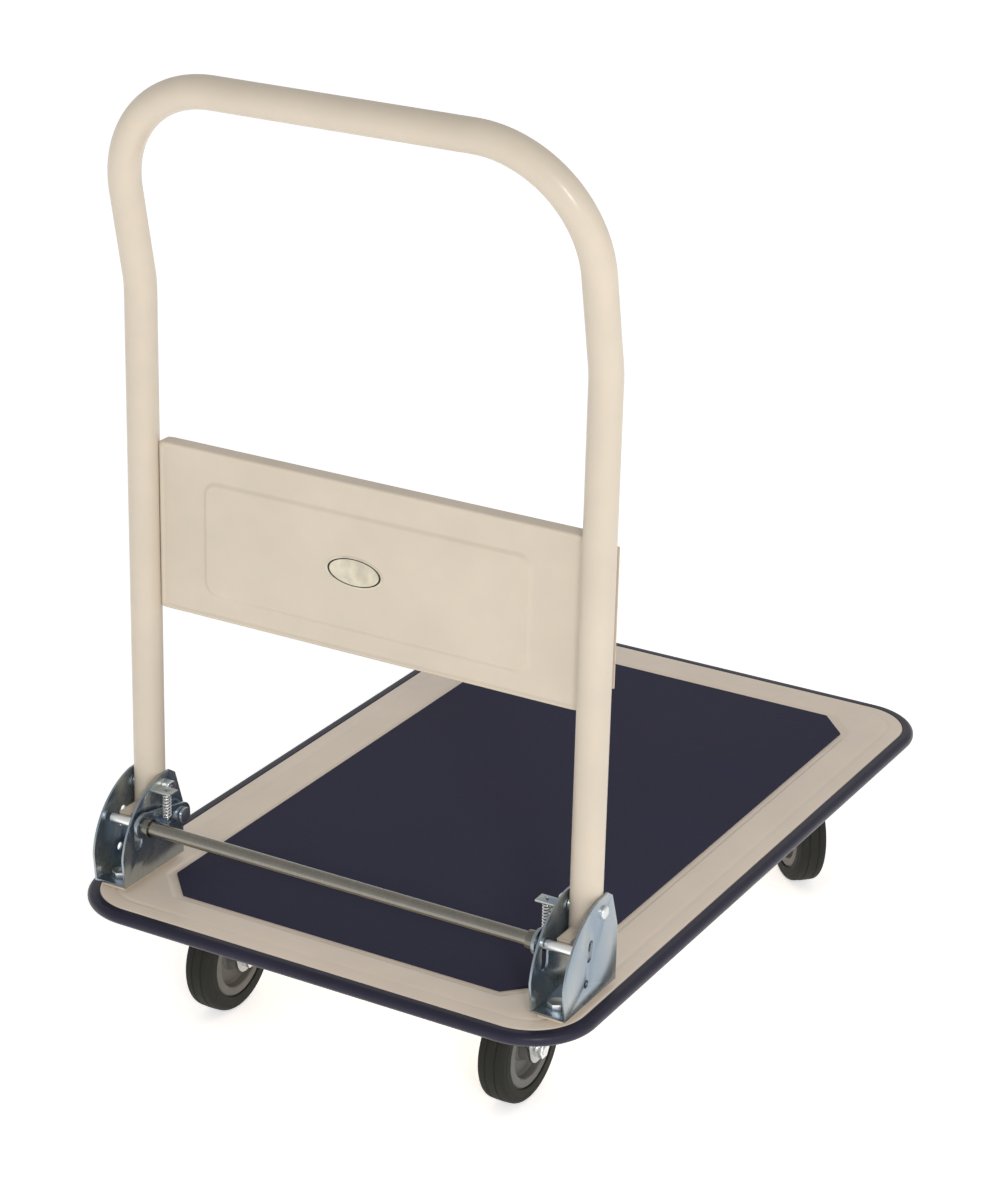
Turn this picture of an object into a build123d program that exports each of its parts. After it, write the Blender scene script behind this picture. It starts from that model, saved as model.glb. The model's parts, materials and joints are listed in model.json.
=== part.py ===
from build123d import *
import os
from math import cos, radians, sin

# Folding platform cart.  Millimetres, +Z up, floor at Z = 0, origin under the deck's centre.
# +X points away from the push handle, +Y is the cart's left side seen from the handle.

# ---- driving dimensions -------------------------------------------------------------------
DECK_LENGTH, DECK_WIDTH = 750.0, 484.0      # over the rubber bumper
DECK_TOP = 127.0                            # top of the painted border
DECK_CORNER_R = 60.0                        # outside of the bumper
BUMPER_WIDTH = 10.5                         # bumper outside to pan skirt
BUMPER_BOTTOM, BUMPER_TOP, BUMPER_ROUND = 115.0, 126.2, 5.5
SHEET = 1.5                                 # pan sheet metal
SKIRT_BOTTOM, PAN_FOLD_R = 113.0, 2.0       # the border folds down into the skirt
MAT_BACK, MAT_FRONT, MAT_HALF_WIDTH = -317.0, 320.0, 182.0
MAT_CHAMFER_X, MAT_CHAMFER_Y = 30.0, 27.5
MAT_THICK = 2.0
RECESS_DEPTH, RECESS_MARGIN = 1.5, 4.5

TRAY_BOTTOM, TRAY_SHEET, TRAY_LENGTH, TRAY_HALF_Y = 119.5, 2.0, 104.0, 192.0
RAIL_WIDTH, RAIL_DEPTH, RAIL_Y = 40.0, 12.0, 95.0

WHEEL_R, WHEEL_WIDTH, RIM_R = 50.0, 26.0, 36.5
TYRE_ROUND = 5.0
HUB_BOSS_R, HUB_BOSS_WIDTH, HUB_WEB = 12.0, 29.6, 8.0
RIM_LIP_R, RIM_HALF = 28.0, 12.0
SLEEVE_R, AXLE_R = 6.0, 4.0
RUNNING_GAP = 0.05                          # radial clearance of every turning fit
FORK_INNER, FORK_SHEET, FORK_END_R = 15.5, 2.5, 12.5
REAR_AXLE_X, CASTER_Y = -264.0, 145.0
KINGPIN_X, KINGPIN_Y, TRAIL = 249.0, 150.0, 30.0
CASTER_YAW = 43.8                           # how far both front casters have swung round
PLATE_TOP, PLATE_THICK, PLATE_X, PLATE_Y = 119.5, 3.0, 92.0, 66.0
PLATE_BOLT_X, PLATE_BOLT_Y = 72.0, 46.0
CROWN_TOP, CROWN_THICK, CROWN_R = 108.5, 3.0, 27.0
KINGPIN_R, BALL_R, BALL_CIRCLE_R, BALL_COUNT = 6.0, 2.4, 21.0, 14
RACE_THICK, SKIRT_GAP = 3.0, 0.5            # the race's skirt stops short of the turning crown

TUBE_R, TUBE_WALL = 13.45, 1.5
HANDLE_X, HANDLE_Y = -282.75, 212.0         # upright legs
TUBE_BOTTOM, KINK_Z = 170.0, 649.0
LEAN, LEAN_LENGTH = 12.06, 177.4            # upper part leans back over the operator
KINK_R, CORNER_R = 60.0, 96.9
PANEL_BOTTOM, PANEL_TOP, PANEL_FACE_X, PANEL_SHEET = 369.0, 516.0, -281.4, 1.2
PANEL_HALF_Y, TAB_HALF_Y, TAB_BOTTOM, TAB_TOP = 198.4, 222.0, 390.0, 508.0
PAD_HALF_Y, PAD_BOTTOM, PAD_TOP, PAD_RISE = 150.0, 393.0, 486.0, 0.8

PIVOT_Z, PIVOT_R, PIVOT_SLEEVE_R, PIVOT_SLEEVE_HALF = 203.0, 4.0, 7.0, 13.7
PIVOT_HEAD_R, PIVOT_HEAD = 5.7, 3.4
CHEEK, CHANNEL_HALF = 2.0, 14.0             # bracket cheek sheet, half the gap between cheeks
BRACKET_FRONT, BRACKET_BACK = -345.0, -257.0
BRACKET_SEAT = 131.5                        # underside of the bracket's base, on its pad
SPACER_FRONT, SPACER_BACK, SPACER_HALF = -338.0, -260.0, 11.0
BACKING_THICK = 2.0
BRACKET_BOLT_X = (-327.0, -271.0)
LEVER_X, LEVER_Z = -266.0, 172.0            # pivot of the release levers
BAR_X, BAR_Z, BAR_R, BAR_END_Y = -322.0, 184.0, 6.0, 223.5
BAR_END_R = 4.2                             # slimmer ends, between the cheeks
BAR_DROP = 18.0                             # bar travel between its two stops
LEVER_SHEET, LEVER_Y, LEVER_END_R = 3.0, 190.0, 11.0
SPRING_X, SPRING_Y, SPRING_R, SPRING_WIRE = -297.0, 184.5, 4.0, 1.4
SPRING_LIP_Z, SPRING_STUD_Z = 209.0, 178.0
CAM_R = 38.8                                # locking nose, swung about the handle pivot
PLUG_TOP, NOSE_HALF = 190.0, 5.9            # plug in the tube's foot that carries the nose
COLLAR_Y, COLLAR_HALF, COLLAR_WALL = 186.0, 3.5, 2.0
LIP_FRONT, LIP_BACK, LIP_REACH = -303.0, -291.0, 8.0    # bracket lip, reaching past the spring
SIGHT_SLOT = ((-302.8, 183.0, 3.5), (-304.8, 171.5, 3.5))   # outer cheek, as X, Z, radius
SIGHT_HOLE_X, SIGHT_HOLE_Z, SIGHT_HOLE_R = -308.5, 150.0, 3.5

BOLT_R, BOLT_CLEARANCE_R = 4.0, 4.2         # M8 fasteners throughout
HEX_FLATS, HEX_HEAD, HEX_NUT = 13.0, 5.3, 6.5
KINGPIN_TAIL, KINGPIN_HEAD_R, KINGPIN_HEAD, KINGPIN_PLAY = 7.5, 10.0, 2.2, 0.3
KINGPIN_NUT_FLATS, KINGPIN_WASHER_R, KINGPIN_WASHER = 19.0, 11.0, 2.0
LEVER_PIN_COLLAR_R, LEVER_PIN_HEAD_R, LEVER_PIN_HEAD, LEVER_PLAY = 8.0, 7.0, 3.0, 0.3
FIXED_CROWN_HALF, SWIVEL_CROWN_BACK, SWIVEL_CROWN_FRONT = 30.0, -27.0, 20.0
LOW_HEAD_R, LOW_HEAD = 8.0, 2.2             # caster bolts' heads, inside the trays
FORK_RIVET_X, FORK_RIVET_HEAD_R, FORK_RIVET_HEAD = 18.0, 6.5, 2.5
PANEL_RIVET_R, PANEL_RIVET_HOLE_R, RIVET_INSET = 2.35, 2.4, 12.0
PANEL_RIVET_HEAD_R, PANEL_RIVET_HEAD, PANEL_RIVET_GRIP = 4.5, 1.4, 5.0
LABEL_Y, LABEL_Z, LABEL_HALF_Y, LABEL_HALF_Z, LABEL_THICK = 8.0, 441.0, 27.0, 13.0, 0.5

SIDES = (("left", 1), ("right", -1))


# ---- small helpers ------------------------------------------------------------------------
def save(node, *solids):
    """One STEP file per node; loose solids go in as a group."""
    shape = solids[0] if len(solids) == 1 else Compound(children=list(solids))
    export_step(shape, f"parts/{node}.step")


def block(x0, x1, y0, y1, z0, z1):
    """Box between two opposite corners, in any order along each axis."""
    size = (abs(x1 - x0), abs(y1 - y0), abs(z1 - z0))
    return Pos((x0 + x1) / 2, (y0 + y1) / 2, (z0 + z1) / 2) * Box(*size)


def rod_z(x, y, radius, z0, z1):
    return Pos(x, y, (z0 + z1) / 2) * Cylinder(radius, abs(z1 - z0))


def rod_y(x, z, radius, y0, y1):
    return Pos(x, (y0 + y1) / 2, z) * Rot(90, 0, 0) * Cylinder(radius, abs(y1 - y0))


def rod_x(y, z, radius, x0, x1):
    return Pos((x0 + x1) / 2, y, z) * Rot(0, 90, 0) * Cylinder(radius, abs(x1 - x0))


def hex_z(x, y, across_flats, z0, z1):
    outline = RegularPolygon(across_flats / 2, 6, major_radius=False)
    return Pos(x, y, min(z0, z1)) * extrude(outline, abs(z1 - z0))


def hex_y(x, z, across_flats, y0, y1):
    outline = Plane.XZ * RegularPolygon(across_flats / 2, 6, major_radius=False)
    return Pos(x, max(y0, y1), z) * extrude(outline, abs(y1 - y0))


def hex_nut_z(x, y, top):
    """Nut whose upper face is at a height."""
    nut = hex_z(x, y, HEX_FLATS, top - HEX_NUT, top)
    return nut - rod_z(x, y, BOLT_R, top - HEX_NUT, top)


def rounded_slab(length, width, radius, z0, z1):
    return Pos(0, 0, z0) * extrude(RectangleRounded(length, width, radius), z1 - z0)


def octagon_slab(margin, z0, z1):
    """Mat outline, grown by a margin on every side."""
    x0, x1, y = MAT_BACK - margin, MAT_FRONT + margin, MAT_HALF_WIDTH + margin
    corner = margin * 0.41
    cx, cy = MAT_CHAMFER_X + corner, MAT_CHAMFER_Y + corner
    points = [(x0 + cx, -y), (x1 - cx, -y), (x1, -y + cy), (x1, y - cy),
              (x1 - cx, y), (x0 + cx, y), (x0, y - cy), (x0, -y + cy)]
    return Pos(0, 0, z0) * extrude(make_face(Polyline(*points, close=True)), z1 - z0)


def plate_y(outline, y0, y1):
    """Extrude an XZ outline from y0 to y1."""
    return Pos(0, max(y0, y1), 0) * extrude(outline, abs(y1 - y0))


def hull_xz(*circles):
    """Flat outline in the XZ plane round a set of circles given as (x, z, radius)."""
    rims = [Pos(x, z) * Circle(r) for x, z, r in circles]
    return Plane.XZ * make_hull([edge for rim in rims for edge in rim.edges()])


# ---- deck ---------------------------------------------------------------------------------
PAN_LENGTH, PAN_WIDTH = DECK_LENGTH - 2 * BUMPER_WIDTH, DECK_WIDTH - 2 * BUMPER_WIDTH
PAN_CORNER_R = DECK_CORNER_R - BUMPER_WIDTH
PAN_UNDER = DECK_TOP - SHEET
RECESS_TOP = DECK_TOP - RECESS_DEPTH
RECESS_UNDER = RECESS_TOP - SHEET
BRACKET_BOLTS = [(x, side * HANDLE_Y) for x in BRACKET_BOLT_X for _, side in SIDES]


def deck_pan():
    """Pressed sheet pan: flat border, folded skirt, shallow eight-sided recess for the mat."""
    pan = rounded_slab(PAN_LENGTH, PAN_WIDTH, PAN_CORNER_R, SKIRT_BOTTOM, DECK_TOP)
    pan = fillet(pan.edges().group_by(Axis.Z)[-1], PAN_FOLD_R)
    pan -= rounded_slab(PAN_LENGTH - 2 * SHEET, PAN_WIDTH - 2 * SHEET,
                        PAN_CORNER_R - SHEET, SKIRT_BOTTOM, PAN_UNDER)
    pan += octagon_slab(RECESS_MARGIN + SHEET, RECESS_UNDER, PAN_UNDER)
    pan -= octagon_slab(RECESS_MARGIN, RECESS_TOP, DECK_TOP)
    for x, y in BRACKET_BOLTS:
        pan -= rod_z(x, y, BOLT_CLEARANCE_R, PAN_UNDER, DECK_TOP)
    return pan


def edge_bumper():
    """Round-nosed rubber strip pressed on round the pan's skirt, just under its border."""
    ring = rounded_slab(DECK_LENGTH, DECK_WIDTH, DECK_CORNER_R, BUMPER_BOTTOM, BUMPER_TOP)
    rims = ring.edges().group_by(Axis.Z)
    ring = fillet(rims[0] + rims[-1], BUMPER_ROUND)
    return ring - rounded_slab(PAN_LENGTH, PAN_WIDTH, PAN_CORNER_R, BUMPER_BOTTOM, BUMPER_TOP)


def caster_tray(center_x):
    """Shallow channel across the deck's underside that carries two caster plates."""
    x0, x1 = center_x - TRAY_LENGTH / 2, center_x + TRAY_LENGTH / 2
    tray = block(x0, x1, -TRAY_HALF_Y, TRAY_HALF_Y, TRAY_BOTTOM, RECESS_UNDER)
    tray -= block(x0 + TRAY_SHEET, x1 - TRAY_SHEET, -TRAY_HALF_Y, TRAY_HALF_Y,
                  TRAY_BOTTOM + TRAY_SHEET, RECESS_UNDER)
    for x, y in caster_bolt_places(center_x):
        tray -= rod_z(x, y, BOLT_CLEARANCE_R, TRAY_BOTTOM, TRAY_BOTTOM + TRAY_SHEET)
    for _, side in SIDES:
        tray -= rod_z(center_x, side * caster_y(center_x), KINGPIN_HEAD_R + 0.5,
                      TRAY_BOTTOM, TRAY_BOTTOM + TRAY_SHEET)
    return tray


def caster_y(center_x):
    return KINGPIN_Y if center_x > 0 else CASTER_Y


def caster_bolt_places(center_x):
    """Four bolts round each of the two casters on one tray."""
    y = caster_y(center_x)
    return [(center_x + dx * PLATE_BOLT_X / 2, side * y + dy * PLATE_BOLT_Y / 2)
            for _, side in SIDES for dx in (-1, 1) for dy in (-1, 1)]


def deck_rail(side):
    """Lengthwise stiffening channel between the two trays, open at the top."""
    x0, x1 = REAR_AXLE_X + TRAY_LENGTH / 2, KINGPIN_X - TRAY_LENGTH / 2
    y = side * RAIL_Y
    bottom = RECESS_UNDER - RAIL_DEPTH
    rail = block(x0, x1, y - RAIL_WIDTH / 2, y + RAIL_WIDTH / 2, bottom, RECESS_UNDER)
    return rail - block(x0, x1, y - RAIL_WIDTH / 2 + SHEET, y + RAIL_WIDTH / 2 - SHEET,
                        bottom + SHEET, RECESS_UNDER)


# ---- hinge brackets -----------------------------------------------------------------------
def cheek_outline():
    """Side profile of a bracket cheek: upright back edge, sloping shoulder, curved front."""
    foot_front, foot_back = (BRACKET_FRONT + 3.0, BRACKET_SEAT), (BRACKET_BACK, BRACKET_SEAT)
    elbow, shoulder = (BRACKET_BACK, 180.0), (-268.0, 212.0)
    crown, brow, chin = (-276.0, 217.5), (-290.0, 217.0), (BRACKET_FRONT, 158.0)
    sweep = (-325.5, 198.0)
    edges = Polyline(chin, foot_front, foot_back, elbow, shoulder, crown, brow)
    return Plane.XZ * make_face([*edges.edges(), ThreePointArc(brow, sweep, chin)])


def release_slot():
    """Slot in the inner cheek that the release bar drops through."""
    width, margin_x = 2 * BAR_END_R + 2.5, -0.65
    top, bottom = BAR_Z, BAR_Z - BAR_DROP
    return hull_xz((BAR_X + margin_x, top, width / 2), (BAR_X + margin_x, bottom, width / 2))


def hinge_bracket(side):
    """Zinc-plated channel: base, inner and outer cheek, and the lip that holds the spring."""
    inner, outer = HANDLE_Y - CHANNEL_HALF, HANDLE_Y + CHANNEL_HALF
    far_in, far_out = side * (inner - CHEEK), side * (outer + CHEEK)
    body = plate_y(cheek_outline(), far_in, far_out)
    body -= block(BRACKET_FRONT - 1, BRACKET_BACK + 1, side * inner, side * outer,
                  BRACKET_SEAT + CHEEK, PIVOT_Z + 20)
    body -= rod_y(HANDLE_X, PIVOT_Z, PIVOT_R + 0.1, far_in, far_out)
    body -= plate_y(release_slot(), far_in, side * inner)
    body -= rod_y(LEVER_X, LEVER_Z, PIVOT_R + 0.1, far_in, side * inner)
    body -= plate_y(hull_xz(*SIGHT_SLOT), side * outer, far_out)
    body -= rod_y(SIGHT_HOLE_X, SIGHT_HOLE_Z, SIGHT_HOLE_R, side * outer, far_out)
    for x in BRACKET_BOLT_X:
        body -= rod_z(x, side * HANDLE_Y, BOLT_CLEARANCE_R,
                      BRACKET_SEAT, BRACKET_SEAT + CHEEK)
    lip = block(LIP_FRONT, LIP_BACK, far_in, side * (SPRING_Y - LIP_REACH),
                SPRING_LIP_Z - CHEEK, SPRING_LIP_Z)
    return body + (lip - rod_z(SPRING_X, side * SPRING_Y, 1.2, SPRING_LIP_Z - CHEEK,
                               SPRING_LIP_Z))


def bolted_strip(side, bottom, top):
    """Strip with two bolt holes that follows the bracket's base."""
    y = side * HANDLE_Y
    strip = block(SPACER_FRONT, SPACER_BACK, y - SPACER_HALF, y + SPACER_HALF, bottom, top)
    for x in BRACKET_BOLT_X:
        strip -= rod_z(x, y, BOLT_CLEARANCE_R, bottom, top)
    return strip


def bracket_pad(side):
    """Spacer between the deck and the bracket's base."""
    return bolted_strip(side, DECK_TOP, BRACKET_SEAT)


def backing_plate(side):
    """Strip under the pan that spreads the bracket bolts' load."""
    return bolted_strip(side, PAN_UNDER - BACKING_THICK, PAN_UNDER)


def bracket_bolt(x, y):
    head = BRACKET_SEAT + CHEEK
    tail = PAN_UNDER - BACKING_THICK - HEX_NUT - 1.5
    return hex_z(x, y, HEX_FLATS, head, head + HEX_HEAD) + rod_z(x, y, BOLT_R, tail, head)


def bracket_nut(x, y):
    return hex_nut_z(x, y, PAN_UNDER - BACKING_THICK)


def pivot_bolt(side):
    """Handle pivot: bolt with its head outside the outer cheek."""
    outside = HANDLE_Y + CHANNEL_HALF + CHEEK
    inside = HANDLE_Y - CHANNEL_HALF - CHEEK
    head = rod_y(HANDLE_X, PIVOT_Z, PIVOT_HEAD_R, side * outside, side * (outside + PIVOT_HEAD))
    return head + rod_y(HANDLE_X, PIVOT_Z, PIVOT_R, side * (inside - HEX_NUT), side * outside)


def pivot_nut(side):
    inside = HANDLE_Y - CHANNEL_HALF - CHEEK
    ends = side * (inside - HEX_NUT), side * inside
    return hex_y(HANDLE_X, PIVOT_Z, HEX_FLATS, *ends) - rod_y(HANDLE_X, PIVOT_Z, PIVOT_R, *ends)


def lever_pin(side):
    """Shouldered rivet in the inner cheek that a release lever turns on."""
    cheek, shoulder = HANDLE_Y - CHANNEL_HALF - CHEEK, LEVER_Y + LEVER_SHEET + LEVER_PLAY
    neck, end = LEVER_Y - LEVER_PLAY, LEVER_Y - LEVER_PIN_HEAD
    pin = rod_y(LEVER_X, LEVER_Z, PIVOT_R, side * neck, side * (cheek + CHEEK))
    pin += rod_y(LEVER_X, LEVER_Z, LEVER_PIN_COLLAR_R, side * shoulder, side * cheek)
    return pin + rod_y(LEVER_X, LEVER_Z, LEVER_PIN_HEAD_R, side * end, side * neck)


def latch_spring(side):
    """Extension spring from the bracket's lip to the lever's stud, as a closed coil sleeve."""
    y, hook = side * SPRING_Y, SPRING_WIRE / 2
    coil_top, coil_bottom = SPRING_LIP_Z - 3.2, SPRING_STUD_Z + 5.5
    coil = rod_z(SPRING_X, y, SPRING_R, coil_bottom, coil_top)
    coil -= rod_z(SPRING_X, y, SPRING_R - SPRING_WIRE, coil_bottom + SPRING_WIRE,
                  coil_top - SPRING_WIRE)
    coil += rod_z(SPRING_X, y, hook, coil_top - SPRING_WIRE, SPRING_LIP_Z + 1.5)
    return coil + rod_z(SPRING_X, y, hook, SPRING_STUD_Z + 3.0, coil_bottom + SPRING_WIRE)


# ---- release bar --------------------------------------------------------------------------
def lock_bar():
    """Cross bar, thick between the levers, with slimmer ends between the cheeks."""
    step = LEVER_Y + LEVER_SHEET + 1.0
    thick = rod_y(BAR_X, BAR_Z, BAR_R, -step, step)
    return thick + rod_y(BAR_X, BAR_Z, BAR_END_R, -BAR_END_Y, BAR_END_Y)


def release_lever(side):
    """Flat link from the lever pin to the bar, with a stud that the spring pulls up."""
    face, back = side * LEVER_Y, side * (LEVER_Y + LEVER_SHEET)
    outline = hull_xz((LEVER_X, LEVER_Z, LEVER_END_R), (BAR_X, BAR_Z, LEVER_END_R))
    lever = plate_y(outline, face, back)
    lever -= rod_y(LEVER_X, LEVER_Z, PIVOT_R + RUNNING_GAP, face, back)
    lever -= rod_y(BAR_X, BAR_Z, BAR_R, face, back)
    stud_end = side * (SPRING_Y - 3.5)
    return lever + rod_y(SPRING_X, SPRING_STUD_Z, 2.5, stud_end, face)


def bar_collar(side):
    ends = side * COLLAR_Y - COLLAR_HALF, side * COLLAR_Y + COLLAR_HALF
    return rod_y(BAR_X, BAR_Z, BAR_R + COLLAR_WALL, *ends) - rod_y(BAR_X, BAR_Z, BAR_R, *ends)


# ---- handle -------------------------------------------------------------------------------
def handle_path():
    """Centreline: upright legs, a kink, leaning upper legs, and a rounded top bar."""
    top_x = HANDLE_X - LEAN_LENGTH * sin(radians(LEAN))
    top_z = KINK_Z + LEAN_LENGTH * cos(radians(LEAN))
    points = [(HANDLE_X, HANDLE_Y, TUBE_BOTTOM), (HANDLE_X, HANDLE_Y, KINK_Z),
              (top_x, HANDLE_Y, top_z), (top_x, -HANDLE_Y, top_z),
              (HANDLE_X, -HANDLE_Y, KINK_Z), (HANDLE_X, -HANDLE_Y, TUBE_BOTTOM)]
    return FilletPolyline(*points, radius=[KINK_R, CORNER_R, CORNER_R, KINK_R])


def handle_tube():
    """One bent steel tube with holes for the pivot sleeves, rivets and locking noses."""
    start = Plane(origin=(HANDLE_X, HANDLE_Y, TUBE_BOTTOM), z_dir=(0, 0, 1))
    path = handle_path()
    tube = sweep(start * Circle(TUBE_R), path=path)
    tube -= sweep(start * Circle(TUBE_R - TUBE_WALL), path=path)
    for _, side in SIDES:
        y = side * HANDLE_Y
        tube -= rod_y(HANDLE_X, PIVOT_Z, PIVOT_SLEEVE_R, y - TUBE_R - 1, y + TUBE_R + 1)
        tube -= block(HANDLE_X - TUBE_R - 1, HANDLE_X, y - NOSE_HALF - 0.1, y + NOSE_HALF + 0.1,
                      TUBE_BOTTOM, PLUG_TOP)
        for z in rivet_heights():
            tube -= rod_x(y, z, PANEL_RIVET_HOLE_R, HANDLE_X, HANDLE_X + TUBE_R + 1)
    return tube


def pivot_sleeve(side):
    """Bush through the tube that turns on the pivot bolt."""
    ends = side * (HANDLE_Y - PIVOT_SLEEVE_HALF), side * (HANDLE_Y + PIVOT_SLEEVE_HALF)
    sleeve = rod_y(HANDLE_X, PIVOT_Z, PIVOT_SLEEVE_R - 0.05, *ends)
    return sleeve - rod_y(HANDLE_X, PIVOT_Z, PIVOT_R + RUNNING_GAP, *ends)


def locking_nose(side):
    """Plug in the tube's foot whose round nose stands just behind the release bar."""
    y = side * HANDLE_Y
    plug = rod_z(HANDLE_X, y, TUBE_R - TUBE_WALL - 0.05, TUBE_BOTTOM, PLUG_TOP)
    nose = block(HANDLE_X - CAM_R - 1, HANDLE_X, y - NOSE_HALF, y + NOSE_HALF,
                 TUBE_BOTTOM, PLUG_TOP - 0.1)
    nose &= rod_y(HANDLE_X, PIVOT_Z, CAM_R, y - TUBE_R, y + TUBE_R)
    return plug + nose


def rivet_heights():
    return (TAB_BOTTOM + RIVET_INSET, TAB_TOP - RIVET_INSET)


def handle_panel():
    """Pressed panel between the legs, flanged to the deck side and lapped behind the tubes."""
    x0, x1 = PANEL_FACE_X, PANEL_FACE_X + PANEL_SHEET
    tab_x0 = HANDLE_X + TUBE_R + 0.1
    tab_x1 = tab_x0 + PANEL_SHEET
    half = PANEL_HALF_Y
    panel = block(x0, tab_x1, -half, half, PANEL_BOTTOM, PANEL_TOP)
    panel -= block(x1, tab_x1, -half + PANEL_SHEET, half - PANEL_SHEET,
                   PANEL_BOTTOM + PANEL_SHEET, PANEL_TOP - PANEL_SHEET)
    panel += block(x0 - PAD_RISE, x0, -PAD_HALF_Y, PAD_HALF_Y, PAD_BOTTOM, PAD_TOP)
    inset = PANEL_SHEET
    panel -= block(x1 - PAD_RISE, x1, -PAD_HALF_Y + inset, PAD_HALF_Y - inset,
                   PAD_BOTTOM + inset, PAD_TOP - inset)
    for _, side in SIDES:
        panel += block(tab_x0, tab_x1, side * (half - PANEL_SHEET), side * TAB_HALF_Y,
                       TAB_BOTTOM, TAB_TOP)
        for z in rivet_heights():
            panel -= rod_x(side * HANDLE_Y, z, PANEL_RIVET_HOLE_R, tab_x0, tab_x1)
    return panel


def panel_rivet(side, z):
    """Blind rivet through a panel tab and the tube's wall."""
    y = side * HANDLE_Y
    face = HANDLE_X + TUBE_R + 0.1 + PANEL_SHEET
    shank = rod_x(y, z, PANEL_RIVET_R, face - PANEL_RIVET_GRIP, face)
    return shank + rod_x(y, z, PANEL_RIVET_HEAD_R, face, face + PANEL_RIVET_HEAD)


def panel_label():
    """Blank oval badge on the panel's raised pad."""
    face = PANEL_FACE_X - PAD_RISE
    middle = Plane((face, LABEL_Y, LABEL_Z), x_dir=(0, 1, 0), z_dir=(-1, 0, 0))
    return extrude(middle * Ellipse(LABEL_HALF_Y, LABEL_HALF_Z), LABEL_THICK)


# ---- wheels and casters -------------------------------------------------------------------
def yaw_place(side):
    """Maps a caster modelled at its kingpin, trailing towards -X, to its place under the deck."""
    return Pos(KINGPIN_X, side * KINGPIN_Y, 0) * Rot(0, 0, CASTER_YAW)


def rear_place(side):
    return Pos(REAR_AXLE_X, side * CASTER_Y, 0)


def wheel_ring(points):
    """Turn an outline of (radius, across) points about the wheel axle."""
    outline = make_face(Polyline(*[(r, across, WHEEL_R) for r, across in points], close=True))
    return revolve(outline, Axis((0, 0, WHEEL_R), (0, 1, 0)), 360)


def tyre():
    half = WHEEL_WIDTH / 2
    ring = wheel_ring([(RIM_R, -half), (WHEEL_R, -half), (WHEEL_R, half), (RIM_R, half)])
    circles = ring.edges().filter_by(GeomType.CIRCLE)
    return fillet(circles.filter_by(lambda edge: edge.radius > WHEEL_R - 1), TYRE_ROUND)


def wheel_hub():
    """Plastic wheel centre: bearing boss, thin web and a raised rim lip under the tyre."""
    boss, web = HUB_BOSS_WIDTH / 2, HUB_WEB / 2
    bore = SLEEVE_R + RUNNING_GAP
    half = [(bore, boss), (HUB_BOSS_R, boss), (HUB_BOSS_R, web), (RIM_LIP_R, web),
            (RIM_LIP_R, RIM_HALF), (RIM_R, RIM_HALF)]
    return wheel_ring(half + [(r, -across) for r, across in reversed(half)])


def axle_sleeve(x):
    sleeve = rod_y(x, WHEEL_R, SLEEVE_R, -FORK_INNER, FORK_INNER)
    return sleeve - rod_y(x, WHEEL_R, AXLE_R + 0.1, -FORK_INNER, FORK_INNER)


def axle_bolt(x):
    outer = FORK_INNER + FORK_SHEET
    bolt = rod_y(x, WHEEL_R, AXLE_R, -outer - HEX_NUT - 1.0, outer)
    return bolt + hex_y(x, WHEEL_R, HEX_FLATS, outer, outer + HEX_HEAD)


def axle_nut(x):
    outer = FORK_INNER + FORK_SHEET
    nut = hex_y(x, WHEEL_R, HEX_FLATS, -outer - HEX_NUT, -outer)
    return nut - rod_y(x, WHEEL_R, AXLE_R, -outer - HEX_NUT, -outer)


def bent_fork(axle_x, crown_x0, crown_x1, crown_top, crown_thick):
    """Sheet bent over the wheel: flat crown, two legs that taper to round ends at the axle."""
    corner = 4.0
    outline = hull_xz((axle_x, WHEEL_R, FORK_END_R),
                      (crown_x0 + corner, crown_top - corner, corner),
                      (crown_x1 - corner, crown_top - corner, corner))
    outer = FORK_INNER + FORK_SHEET
    fork = plate_y(outline, -outer, outer)
    fork -= block(axle_x - WHEEL_R, crown_x1 + 1, -FORK_INNER, FORK_INNER,
                  0, crown_top - crown_thick)
    return fork - rod_y(axle_x, WHEEL_R, AXLE_R + 0.1, -outer, outer)


def fixed_fork():
    """Rigid caster fork, riveted to its top plate."""
    top = PLATE_TOP - PLATE_THICK
    fork = bent_fork(0, -FIXED_CROWN_HALF, FIXED_CROWN_HALF, top, FORK_SHEET)
    for dx in (-FORK_RIVET_X, FORK_RIVET_X):
        fork -= rod_z(dx, 0, AXLE_R, top - FORK_SHEET, top)
    return fork


def fixed_rivet(dx):
    top = PLATE_TOP
    under = PLATE_TOP - PLATE_THICK - FORK_SHEET
    head = rod_z(dx, 0, FORK_RIVET_HEAD_R, under - FORK_RIVET_HEAD, under)
    return rod_z(dx, 0, AXLE_R, under, top) + head


def swivel_fork():
    """Swivel caster fork: round crown that carries the balls, legs trailing behind it."""
    under = CROWN_TOP - CROWN_THICK
    fork = bent_fork(-TRAIL, SWIVEL_CROWN_BACK, SWIVEL_CROWN_FRONT, CROWN_TOP, CROWN_THICK)
    fork += rod_z(0, 0, CROWN_R, under, CROWN_TOP)
    return fork - rod_z(0, 0, KINGPIN_R + RUNNING_GAP, under, CROWN_TOP)


def caster_plate():
    """Rectangular top plate with four bolt holes."""
    bottom = PLATE_TOP - PLATE_THICK
    plate = extrude(RectangleRounded(PLATE_X, PLATE_Y, 6.0), PLATE_THICK)
    plate = Pos(0, 0, bottom) * plate
    for dx in (-1, 1):
        for dy in (-1, 1):
            plate -= rod_z(dx * PLATE_BOLT_X / 2, dy * PLATE_BOLT_Y / 2, BOLT_CLEARANCE_R,
                           bottom, PLATE_TOP)
    return plate


def fixed_plate():
    plate = caster_plate()
    for dx in (-FORK_RIVET_X, FORK_RIVET_X):
        plate -= rod_z(dx, 0, AXLE_R, PLATE_TOP - PLATE_THICK, PLATE_TOP)
    return plate


def swivel_plate():
    return caster_plate() - rod_z(0, 0, KINGPIN_R, PLATE_TOP - PLATE_THICK, PLATE_TOP)


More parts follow.
